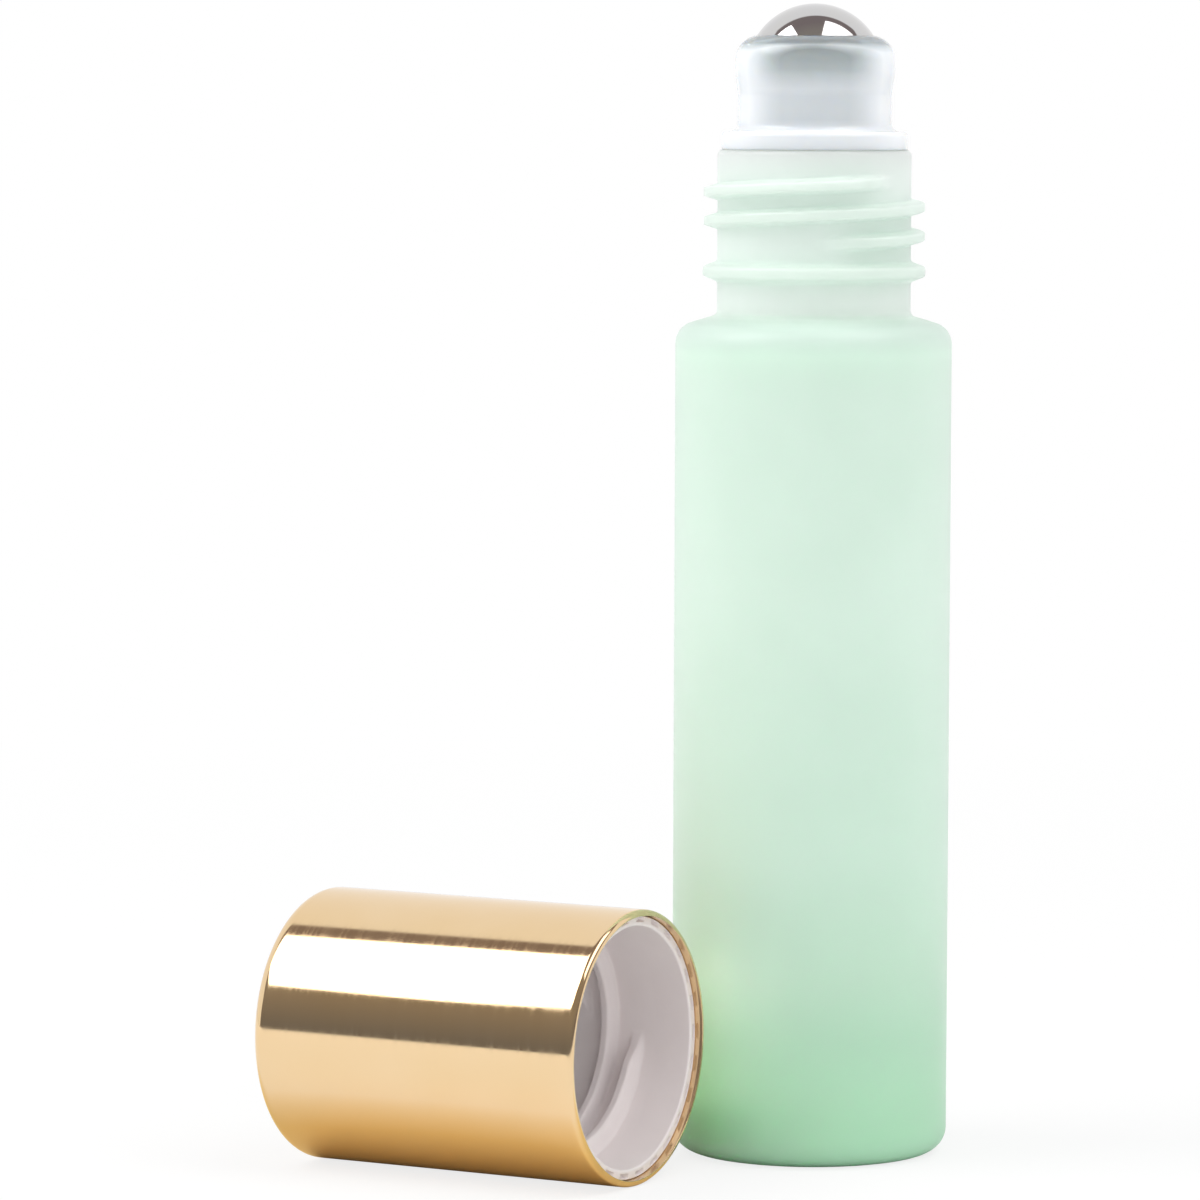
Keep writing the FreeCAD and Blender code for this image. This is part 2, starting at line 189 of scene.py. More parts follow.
def corner_arc(before: Corner, corner: Corner, after: Corner) -> Array:
    """Round a corner by the arc that touches both of its runs.

    The arc's points are the two radii to its ends, mixed by the sines of the swept shares.

    Args:
        before: The corner before it.
        corner: The corner that is rounded.
        after: The corner after it.

    Returns:
        Rows of radius and height from one run to the next.
    """
    here = corner.point()
    if corner.rounding == 0.0:
        return here[None, :]
    back = before.point() - here
    ahead = after.point() - here
    back = back / np.linalg.norm(back)
    ahead = ahead / np.linalg.norm(ahead)
    half = 0.5 * math.acos(float(np.clip(back @ ahead, -1.0, 1.0)))
    sweep = math.pi - 2.0 * half
    reach = corner.rounding / math.tan(half)
    bisector = (back + ahead) / np.linalg.norm(back + ahead)
    centre = here + bisector * corner.rounding / math.sin(half)
    first = here + back * reach - centre
    last = here + ahead * reach - centre
    share = np.linspace(0.0, 1.0, max(4, math.ceil(sweep / ARC_STEP) + 1))[:, None]
    mixed = np.sin((1.0 - share) * sweep) * first + np.sin(share * sweep) * last
    return centre + mixed / math.sin(sweep)


def straight_run(start: Array, end: Array, step: float) -> Array:
    """Place rows along a straight run: one close to each end and the rest at even steps.

    Args:
        start: Where the run starts.
        end: Where it ends.
        step: Longest spacing of its rows.

    Returns:
        Rows of radius and height, without the two ends.
    """
    length = float(np.linalg.norm(end - start))
    near = min(GUARD, 0.25 * length)
    count = max(2, math.ceil((length - 2.0 * near) / step) + 1)
    along = np.linspace(near, length - near, count)
    return start + (end - start) * (along / length)[:, None]


def outline(corners: Sequence[Corner]) -> Array:
    """Join rounded corners by straight runs.

    Args:
        corners: The corners in order, of which the first and the last stay sharp.

    Returns:
        Rows of radius and height along the whole outline.
    """
    inner = [corner_arc(*corners[number:number + 3]) for number in range(len(corners) - 2)]
    arcs = [corners[0].point()[None, :], *inner, corners[-1].point()[None, :]]
    rows = [arcs[0]]
    for corner, before, after in zip(corners, arcs, arcs[1:]):
        rows.append(straight_run(before[-1], after[0], corner.step))
        rows.append(after)
    return np.concatenate(rows)


def arc(centre: tuple[float, float], radius: float, start: float, end: float, count: int) -> Array:
    """Run along a circle.

    Args:
        centre: Radius and height of the circle's centre.
        radius: The circle's radius.
        start: First angle above the level, in degrees.
        end: Last angle.
        count: Number of rows.

    Returns:
        Rows of radius and height: the centre and the circle's radius times the cosine and the sine.
    """
    angle = np.radians(np.linspace(start, end, count))
    return np.stack((centre[0] + radius * np.cos(angle), centre[1] + radius * np.sin(angle)), axis=1)


def all_round(rows: Array, columns: int) -> Array:
    """Repeat the radius of every row in a number of columns."""
    return np.repeat(rows[:, :1], columns, axis=1)


def turned_mesh(
    name: str,
    radii: Array,
    heights: Array,
    place: Matrix | None = None,
    closed: bool = False,
) -> Object:
    """Turn an outline about the axis into a closed mesh.

    Row i and column j give the point at radius radii[i, j] and height heights[i, j], turned by j shares
    of a whole turn. An open outline starts and ends on the axis, where each end is a single point.

    Args:
        name: The piece's name.
        radii: Radius of every point, by row and column.
        heights: Height of every row, or of every point by row and column.
        place: Where the axis lies in the part's frame, in millimetres.
        closed: Whether the last row joins the first, as on a ring.

    Returns:
        The piece, with its place in its mesh.
    """
    columns = radii.shape[1]
    angle = TURN * np.arange(columns) / columns
    up = np.broadcast_to(heights.reshape(len(radii), -1), radii.shape)
    grid = np.stack((radii * np.cos(angle), radii * np.sin(angle), up), axis=-1)
    if closed:
        points = grid.reshape(-1, 3)
        lower = np.arange(len(points)).reshape(-1, columns)
        upper = np.roll(lower, -1, axis=0)
        fans = np.empty((0, 3), dtype=int)
    else:
        points = np.concatenate((grid[1:-1].reshape(-1, 3), grid[:1, 0], grid[-1:, 0]))
        rings = np.arange(len(points) - 2).reshape(-1, columns)
        lower, upper = rings[:-1], rings[1:]
        first = np.full(columns, len(points) - 2)
        last = np.full(columns, len(points) - 1)
        start_fan = np.stack((first, np.roll(rings[0], -1), rings[0]), axis=1)
        end_fan = np.stack((rings[-1], np.roll(rings[-1], -1), last), axis=1)
        fans = np.concatenate((start_fan, end_fan))
    around = (lower, np.roll(lower, -1, axis=1), np.roll(upper, -1, axis=1), upper)
    quads = np.stack(around, axis=-1).reshape(-1, 4)
    if place is not None:
        turn = np.array(place)
        points = points @ turn[:3, :3].T + turn[:3, 3]
    mesh = bpy.data.meshes.new(name)
    mesh.from_pydata((points * MM).tolist(), [], quads.tolist() + fans.tolist())
    mesh.polygons.foreach_set("use_smooth", np.ones(len(mesh.polygons), dtype=bool))
    mesh.update()
    piece = bpy.data.objects.new(name, mesh)
    bpy.context.scene.collection.objects.link(piece)
    return piece


@dataclass(frozen=True)
class Thread:
    """A moulded screw ridge on a round wall.

    Attributes:
        start: Height of the ridge's middle at its start.
        turns: Number of turns.
        angle: Turn of the start from the first column, in degrees.
        fade: Share of a turn over which each end runs out.
        pitch: Rise in one turn.
        reach: Height of the crest over the wall.
        width: Width at the wall.
        crest: Width of the crest.
    """

    start: float
    turns: float
    angle: float
    fade: float
    pitch: float = 2.1
    reach: float = 1.0
    width: float = 1.3
    crest: float = 0.5

    def relief(self, heights: Array, columns: int) -> Array:
        """Give the ridge's height over its wall.

        Each column meets the ridge once in every turn, at a middle that climbs by the pitch from turn
        to turn. The height eases from the crest down to the wall over both flanks and both ends.

        Args:
            heights: Height of every row.
            columns: Number of columns in a whole turn.

        Returns:
            The ridge's height by row and column.
        """
        first = (np.arange(columns) / columns - self.angle / 360.0) % 1.0
        turn = first + np.arange(math.ceil(self.turns) + 1)[:, None]
        ends = ease(turn / self.fade) * ease((self.turns - turn) / self.fade)
        apart = np.abs(heights[:, None, None] - self.start - self.pitch * turn)
        flank = (self.width / 2.0 - apart) / (self.width / 2.0 - self.crest / 2.0)
        return self.reach * (ease(flank) * ends).max(axis=1)


class Finish(ABC):
    """A material, with the slot of the record that it stands for."""

    name: ClassVar[str]
    slot: ClassVar[str]

    @abstractmethod
    def inputs(self, tree: Tree, place: Socket) -> dict[str, Any]:
        """Lay the finish's patterns.

        Args:
            tree: The node tree.
            place: The piece's own coordinates.

        Returns:
            The shader's inputs by name, each a value, a socket or a node.
        """

    @staticmethod
    def grade(tree: Tree, height: Socket, stops: Sequence[tuple[float, Colour]]) -> Node:
        """Grade a colour by the height, straight from stop to stop.

        Args:
            tree: The node tree.
            height: The height over the floor.
            stops: Heights in millimetres, from the lowest up, each with its colour.

        Returns:
            The node that gives the colour.
        """
        low, high = stops[0][0], stops[-1][0]
        share = add_node(tree, RANGE, (height, low * MM, high * MM))
        graded = add_node(tree, "ShaderNodeValToRGB", (share,))
        elements = graded.color_ramp.elements
        for _ in stops[2:]:
            elements.new(0.5)
        for element, (at, colour) in zip(elements, stops):
            element.position = (at - low) / (high - low)
            element.color = colour
        return graded

    def material(self) -> bpy.types.Material:
        """Make the material from the shader and its patterns.

        Returns:
            The new material.
        """
        made = bpy.data.materials.new(self.name)
        made.use_nodes = True
        tree = made.node_tree
        tree.nodes.clear()
        place = add_node(tree, PLACE).outputs["Object"]
        shader = add_node(tree, "ShaderNodeBsdfPrincipled", self.inputs(tree, place))
        add_node(tree, "ShaderNodeOutputMaterial", {"Surface": shader})
        return made

    def dress(self, piece: Object, body: Body, node: str) -> None:
        """Give a piece this finish and its body, and hide the solid that it stands for.

        Args:
            piece: The piece to dress.
            body: The body that carries it.
            node: The solid that it stands for.
        """
        piece.data.materials.append(self.material())
        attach(piece, body.value)
        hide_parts(node)
        LOG.info("%s: %d faces of %s", piece.name, len(piece.data.polygons), self.name)


@dataclass(frozen=True)
class MintGlass(Finish):
    """Soda-lime glass with a sprayed and baked mint coat, graded darker and greener towards the base.

    It gives the eye a satin, milky green that is paler and softer at the neck, where the coat is thin.

    Attributes:
        neck_start: Height from which the ridges get painted shade.
        neck_r: Radius at which the ridges start.
        ridge_r: Radius at which the painted shade is full.
        ridge_painted_shade: How much darker the painted shade on the ridges is at its fullest.
        stops: The coat's colours by height, with painted shade on the shoulder and painted light at the
            neck's foot.
    """

    name: ClassVar[str] = "Sprayed soda-lime glass"
    slot: ClassVar[str] = "mint_glass"
    neck_start: float = 62.0
    neck_r: float = 7.1
    ridge_r: float = 7.8
    ridge_painted_shade: float = 0.23
    stops: tuple[tuple[float, str], ...] = (
        (0.0, "#A0CEAD"),
        (2.4, "#AAD4B6"),
        (9.0, "#B0D2BB"),
        (13.4, "#BAD6C3"),
        (22.0, "#C6DFCF"),
        (42.0, "#D2EADA"),
        (58.2, "#D0E8D8"),
        # Painted shade darkens the shoulder, which faces up to the lamps, and painted light at the neck's
        # foot hides the shade in the crease under the neck
        (59.4, "#C3D6CB"),
        (60.5, "#C2D5CA"),
        (61.0, "#E6F7EB"),
        (66.0, "#E0F3E7"),
        (72.85, "#E4F4EA"),
    )

    def inputs(self, tree: Tree, place: Socket) -> dict[str, Any]:
        """Grade the coat up the bottle, cloud it a little and give it a fine grain.

        Args:
            tree: The node tree.
            place: The piece's own coordinates.

        Returns:
            The shader's inputs.
        """
        height = add_node(tree, SPLIT, (place,)).outputs["Z"]
        coat = self.grade(tree, height, [(at, linear(code)) for at, code in self.stops])
        # The spray's overlaps are about 7 mm apart
        cloud = add_node(tree, NOISE, {"Vector": place, "Scale": per_metre(7.0), "Detail": 2.0})
        patchy = add_node(tree, RANGE, (cloud, *NOISE_SPAN, 0.985, 1.015))
        # Painted shade darkens the ridges of the neck, which catch more light than the grooves between them
        level = add_node(tree, VECTOR, (place, (1.0, 1.0, 0.0)), operation="MULTIPLY")
        out = add_node(tree, VECTOR, (level,), operation="LENGTH")
        ridge = add_node(tree, RANGE, (out, self.neck_r * MM, self.ridge_r * MM, 0.0, self.ridge_painted_shade))
        neck = add_node(tree, MATH, (height, self.neck_start * MM), operation="GREATER_THAN")
        painted_ridge_shade = add_node(tree, MATH, (ridge, neck), operation="MULTIPLY")
        value = add_node(tree, MATH, (patchy, painted_ridge_shade), operation="SUBTRACT")
        # The coat's orange peel is near 0.1 mm and is drawn at 0.4 mm, so that it shows
        peel = add_node(tree, NOISE, {"Vector": place, "Scale": per_metre(0.4), "Detail": 1.0})
        return {
            "Base Color": add_node(tree, "ShaderNodeHueSaturation", {"Value": value, "Color": coat}),
            "Roughness": add_node(tree, RANGE, (cloud, *NOISE_SPAN, 0.36, 0.44)),
            "Normal": add_node(tree, BUMP, {"Strength": 0.05, "Distance": 0.02 * MM, "Height": peel}),
            "IOR": 1.5,
            "Subsurface Weight": 1.0,
            "Subsurface Radius": (1.0, 1.0, 1.0),
            "Subsurface Scale": 4.0 * MM,
        }


@dataclass(frozen=True)
class NaturalPolyethylene(Finish):
    """Uncoloured polyethylene, injection moulded in a polished mould.

    It gives the eye a milky, glossy skin through which the ball shows as a soft grey shade.

    Attributes:
        through: Tint of what shows through.
        slants: From no slant to the slant at which nothing shows through.
        lip: Heights between which the wall thins to the lip.
        lip_share: Share of the clearness that the lip keeps at any slant.
        clearness: Share of the light that passes, by height.
    """

    name: ClassVar[str] = "Moulded natural polyethylene"
    slot: ClassVar[str] = "natural_plastic"
    pale: str = "#EDEFF1"
    deep: str = "#E4E8ED"
    through: str = "#EEF9FF"
    slants: tuple[float, float] = (0.1, 0.48)
    lip: tuple[float, float] = (79.8, 80.5)
    lip_share: float = 0.9
    clearness: tuple[tuple[float, float], ...] = (
        (72.85, 0.1),
        (74.2, 0.15),
        (75.0, 0.34),
        (77.2, 0.32),
        (78.6, 0.62),
        (80.4, 0.9),
    )

    def inputs(self, tree: Tree, place: Socket) -> dict[str, Any]:
        """Cloud the milkiness and let light through.

        Args:
            tree: The node tree.
            place: The piece's own coordinates.

        Returns:
            The shader's inputs.
        """
        # Flow marks in the moulding are about 3 mm long
        flow = add_node(tree, NOISE, {"Vector": place, "Scale": per_metre(3.0), "Detail": 2.0})
        tones = {SHARE: flow, FIRST: linear(self.pale), SECOND: linear(self.deep)}
        milk = add_node(tree, MIX, tones, data_type="RGBA")
        # The thick foot is milky, and the wall lets more light through as it thins towards the lip
        height = add_node(tree, SPLIT, (place,)).outputs["Z"]
        clear = self.grade(tree, height, [(at, (share, share, share, 1.0)) for at, share in self.clearness])
        # A slanting look crosses more of the wall, so there the milkiness hides what is behind it
        slant = add_node(tree, "ShaderNodeLayerWeight", {"Blend": 0.5}).outputs["Facing"]
        seen = add_node(tree, RANGE, (slant, *self.slants, 1.0, 0.0))
        # The lip is thin enough to show the ball at any slant
        thin, thinnest = self.lip
        lip = add_node(tree, RANGE, (height, thin * MM, thinnest * MM, 0.0, self.lip_share))
        shown = add_node(tree, MATH, (seen, lip), operation="MAXIMUM")
        passed = add_node(tree, MATH, (clear, shown), operation="MULTIPLY")
        # What shows through looks a little blue
        tones = {SHARE: passed, FIRST: milk, SECOND: linear(self.through)}
        return {
            "Base Color": add_node(tree, MIX, tones, data_type="RGBA"),
            "Roughness": add_node(tree, RANGE, (flow, *NOISE_SPAN, 0.05, 0.09)),
            "Transmission Weight": passed,
            "IOR": 1.51,
            "Subsurface Weight": 1.0,
            # Blue light is scattered the most, so it goes the least far
            "Subsurface Radius": (1.0, 0.9, 0.8),
            "Subsurface Scale": 0.8 * MM,
        }


@dataclass(frozen=True)
class PolishedSteel(Finish):
    """Stainless steel, ground round and polished to a mirror.

    It gives the eye a small, crisp picture of the studio with a faint haze from handling.
    """

    name: ClassVar[str] = "Polished stainless steel"
    slot: ClassVar[str] = "polished_steel"
    cool: str = "#CBCBCE"
    warm: str = "#CFCDCA"

    def inputs(self, tree: Tree, place: Socket) -> dict[str, Any]:
        """Vary the mirror's tint and haze.

        Args:
            tree: The node tree.
            place: The piece's own coordinates.

        Returns:
            The shader's inputs.
        """
        # Handling leaves hazy patches of about 2 mm
        haze = add_node(tree, NOISE, {"Vector": place, "Scale": per_metre(2.0), "Detail": 3.0})
        tones = {SHARE: haze, FIRST: linear(self.cool), SECOND: linear(self.warm)}
        return {
            "Base Color": add_node(tree, MIX, tones, data_type="RGBA"),
            "Roughness": add_node(tree, RANGE, (haze, *NOISE_SPAN, 0.04, 0.08)),
            "Metallic": 1.0,
        }


@dataclass(frozen=True)
class GoldAluminium(Finish):
    """Drawn aluminium, buffed on a lathe, then bright-dipped and gold anodised.

    It gives the eye a warm mirror whose reflections are drawn out a little along the cap.
    """

    name: ClassVar[str] = "Gold anodised drawn aluminium"
    slot: ClassVar[str] = "gold_aluminium"
    pale: str = "#ECD0A8"
    deep: str = "#E8C99B"

    def inputs(self, tree: Tree, place: Socket) -> dict[str, Any]:
        """Vary the dye and lay faint buffing lines round the cap's axis.

        Args:
            tree: The node tree.
            place: The piece's own coordinates.

        Returns:
            The shader's inputs.
        """
        # The dye takes unevenly over about 6 mm
        dye = add_node(tree, NOISE, {"Vector": place, "Scale": per_metre(6.0), "Detail": 2.0})
        tones = {SHARE: dye, FIRST: linear(self.pale), SECOND: linear(self.deep)}
        # Buffing lines run round the axis, 0.25 mm apart and 8 mm long
        scale = (per_metre(0.25), per_metre(8.0), per_metre(8.0))
        lines = add_node(tree, "ShaderNodeMapping", {"Vector": place, "Scale": scale})
        buff = add_node(tree, NOISE, {"Vector": lines, "Scale": 1.0, "Detail": 1.0})
        return {
            "Base Color": add_node(tree, MIX, tones, data_type="RGBA"),
            "Roughness": add_node(tree, RANGE, (buff, *NOISE_SPAN, 0.06, 0.12)),
            "Metallic": 1.0,
        }


@dataclass(frozen=True)
class WhitePolypropylene(Finish):
    """White polypropylene, injection moulded with a fine satin grain.

    It gives the eye a soft white whose hollows turn to a soft, warm grey.

    Attributes:
        bore_light_x: Places along X between which the mouth's white turns to the bore's painted light.
    """

    name: ClassVar[str] = "Moulded white polypropylene"
    slot: ClassVar[str] = "white_plastic"
    pale: str = "#EBE3E3"
    deep: str = "#E3DADA"
    # Painted light for the bore, which lies deep in shade
    bore: str = "#F7F2F2"
    bore_light_x: tuple[float, float] = (-9.0, -14.0)

    def inputs(self, tree: Tree, place: Socket) -> dict[str, Any]:
        """Vary the white, and give it the mould's grain.

        Args:
            tree: The node tree.
            place: The piece's own coordinates.

        Returns:
            The shader's inputs.
        """
        # Flow marks are about 4 mm long
        flow = add_node(tree, NOISE, {"Vector": place, "Scale": per_metre(4.0), "Detail": 2.0})
        tones = {SHARE: flow, FIRST: linear(self.pale), SECOND: linear(self.deep)}
        white = add_node(tree, MIX, tones, data_type="RGBA")
        # Painted light makes the bore whiter than the mouth, against the shade deep inside the liner
        along = add_node(tree, SPLIT, (place,)).outputs["X"]
        mouth, bore = self.bore_light_x
        bore_light_share = add_node(tree, RANGE, (along, mouth * MM, bore * MM))
        tones = {SHARE: bore_light_share, FIRST: white, SECOND: linear(self.bore)}
        # The mould's grain is near 0.05 mm and is drawn at 0.25 mm, so that it shows
        grain = add_node(tree, NOISE, {"Vector": place, "Scale": per_metre(0.25), "Detail": 1.0})
        return {
            "Base Color": add_node(tree, MIX, tones, data_type="RGBA"),
            "Roughness": add_node(tree, RANGE, (flow, *NOISE_SPAN, 0.36, 0.46)),
            "Normal": add_node(tree, BUMP, {"Strength": 0.1, "Distance": 0.02 * MM, "Height": grain}),
            "IOR": 1.49,
        }


@dataclass
class GlassBottle:
    """The glass bottle: base, body, shoulder, and a neck with a bead and a thread.

    The bead is flat to bead_flat above and below its middle, and meets the neck at bead_half.
    """

    body_r: float = 10.0
    heel_round: float = 1.8
    cavity_r: float = 7.9
    cavity_round: float = 1.0
    floor: float = 3.0
    floor_round: float = 2.0
    foot_r: float = 6.5
    foot_round: float = 0.2
    push_up_r: float = 5.3
    push_up: float = 0.7
    wall_top: float = 60.0
    shoulder_top: float = 60.9
    shoulder_round: float = 1.6
    cavity_top: float = 57.8
    bore_r: float = 5.1
    bore_bottom: float = 59.6
    bore_round: float = 0.4
    neck_r: float = 7.0
    neck_round: float = 0.45
    neck_step: float = 0.08
    bead_z: float = 64.05
    bead_r: float = 8.05
    bead_half: float = 0.75
    bead_flat: float = 0.35
    bead_round: float = 0.28
    lip_z: float = 72.85
    lip_round: float = 0.1
    columns: int = 256
    thread: Thread = Thread(start=66.1, turns=2.15, angle=-61.0, fade=0.1)

    def corners(self) -> list[Corner]:
        """Give the outline from the middle of the base over the lip to the cavity's floor.

        Returns:
            The corners in order.
        """
        return [
            Corner(0.0, self.push_up),
            Corner(self.push_up_r, self.push_up, self.foot_round),
            Corner(self.foot_r, 0.0, self.foot_round),
            Corner(self.body_r, 0.0, self.heel_round),
            Corner(self.body_r, self.wall_top, self.shoulder_round),
            Corner(self.neck_r, self.shoulder_top, self.neck_round),
            Corner(self.neck_r, self.bead_z - self.bead_half, self.bead_round),
            Corner(self.bead_r, self.bead_z - self.bead_flat, self.bead_round),
            Corner(self.bead_r, self.bead_z + self.bead_flat, self.bead_round),
            Corner(self.neck_r, self.bead_z + self.bead_half, self.bead_round, self.neck_step),
            Corner(self.neck_r, self.lip_z, self.neck_round),
            Corner(self.bore_r, self.lip_z, self.lip_round),
            Corner(self.bore_r, self.bore_bottom, self.bore_round),
            Corner(self.cavity_r, self.cavity_top, self.cavity_round),
            Corner(self.cavity_r, self.floor, self.floor_round),
            Corner(0.0, self.floor),
        ]

    def build(self) -> None:
        """Turn the outline, raise the thread on the outside of the neck and dress the bottle."""
        rows = outline(self.corners())
        outside = (rows[:, 0] > self.neck_r - SLACK) & (rows[:, 1] > self.bead_z)
        ridge = outside[:, None] * self.thread.relief(rows[:, 1], self.columns)
        piece = turned_mesh("bottle_skin", all_round(rows, self.columns) + ridge, rows[:, 1])
        MintGlass().dress(piece, Body.BOTTLE, "glass_bottle")


@dataclass
class Applicator:
    """The ball and the housing that holds it in the bottle's neck.

    A seal ring is flat to ring_flat above and below its middle, and meets the plug at ring_half. The
    rounding over the lip starts at rim_start, and the socket at socket_start past the lip, in degrees.
    """

    ball_r: float = 5.0
    ball_z: float = 78.35
    ball_rows: int = 97
    socket_r: float = 5.05
    socket_start: float = 0.4
    socket_rows: int = 48
    feed_r: float = 3.05
    feed_edge: float = 0.1
    plug_bore_r: float = 3.95
    plug_r: float = 4.85
    plug_end: float = 65.35
    plug_lead: float = 0.4
    floor_z: float = 72.3
    ring_r: float = 5.08
    ring_half: float = 0.45
    ring_flat: float = 0.15
    rings: tuple[float, ...] = (66.95, 68.85, 70.75)
    flange_r: float = 6.75
    flange_z: float = 72.85
    flange_top: float = 74.15
    flange_round: float = 0.35
    flange_step: float = 0.3
    waist_r: float = 5.57
    waist_foot_round: float = 0.6
    waist_top: float = 76.75
    waist_round: float = 1.5
    belly_round: float = 3.0
    cup_r: float = 5.78
    cup_round: float = 1.8
    cup_top: float = 81.05
    cup_step: float = 0.4
    rim_start: float = 4.0
    rim_rows: int = 16
    columns: int = 192

    def ring_corners(self) -> list[Corner]:
        """Give the corners of the seal rings.

        Returns:
            The corners from the lowest up.
        """
        corners = []
        for middle in self.rings:
            corners.append(Corner(self.plug_r, middle - self.ring_half))
            corners.append(Corner(self.ring_r, middle - self.ring_flat))
            corners.append(Corner(self.ring_r, middle + self.ring_flat))
            corners.append(Corner(self.plug_r, middle + self.ring_half))
        return corners

    def outside(self) -> list[Corner]:
        """Give the housing's outside, from the plug's floor down its bore and up to the cup's rounding.

        Returns:
            The corners in order.
        """
        return [
            Corner(self.plug_bore_r, self.floor_z),
            Corner(self.plug_bore_r, self.plug_end),
            Corner(self.plug_r - self.plug_lead, self.plug_end),
            Corner(self.plug_r, self.plug_end + self.plug_lead),
            *self.ring_corners(),
            Corner(self.plug_r, self.flange_z),
            Corner(self.flange_r, self.flange_z),
            Corner(self.flange_r, self.flange_top, self.flange_round, self.flange_step),
            Corner(self.waist_r, self.flange_top, self.waist_foot_round, self.cup_step),
            Corner(self.waist_r, self.waist_top, self.waist_round, self.cup_step),
            Corner(self.cup_r, self.ball_z, self.belly_round, self.cup_step),
            Corner(self.cup_r, self.cup_top - self.cup_round),
        ]

    def rim_centre(self) -> tuple[float, float]:
        """Give the radius and the height of the centre of the cup's rounding."""
        return self.cup_r - self.cup_round, self.cup_top - self.cup_round

    def lip_angle(self) -> float:
        """Find where the cup's rounding meets the socket, by the cosine rule on their two centres.

        Returns:
            The angle on the rounding, in degrees.
        """
        across, height = self.rim_centre()
        apart = math.hypot(across, height - self.ball_z)
        lean = math.atan2(height - self.ball_z, across)
        cosine = (self.socket_r**2 - apart**2 - self.cup_round**2) / (2.0 * apart * self.cup_round)
        return math.degrees(lean + math.acos(cosine))

    def housing_rows(self) -> Array:
        """Run up the housing's outside, over its lip and down through the socket.

        Returns:
            Rows of radius and height of the closed outline.
        """
        over = arc(self.rim_centre(), self.cup_round, self.rim_start, self.lip_angle(), self.rim_rows)
        lip = math.degrees(math.asin((over[-1, 1] - self.ball_z) / self.socket_r))
        end = -math.degrees(math.acos(self.feed_r / self.socket_r))
        socket = arc((0.0, self.ball_z), self.socket_r, lip - self.socket_start, end, self.socket_rows)
        feed = np.array(((self.feed_r, self.floor_z + self.feed_edge), (self.feed_r, self.floor_z)))
        return np.concatenate((outline(self.outside()), over, socket, feed))

    def build(self) -> None:
        """Make and dress the housing and the ball."""
        rows = self.housing_rows()
        housing = turned_mesh("housing_skin", all_round(rows, self.columns), rows[:, 1], closed=True)
        NaturalPolyethylene().dress(housing, Body.BOTTLE, "roller_housing")
        half = arc((0.0, self.ball_z), self.ball_r, -90.0, 90.0, self.ball_rows)
        ball = turned_mesh("ball_skin", all_round(half, self.columns), half[:, 1])
        PolishedSteel().dress(ball, Body.BALL, "roller_ball")


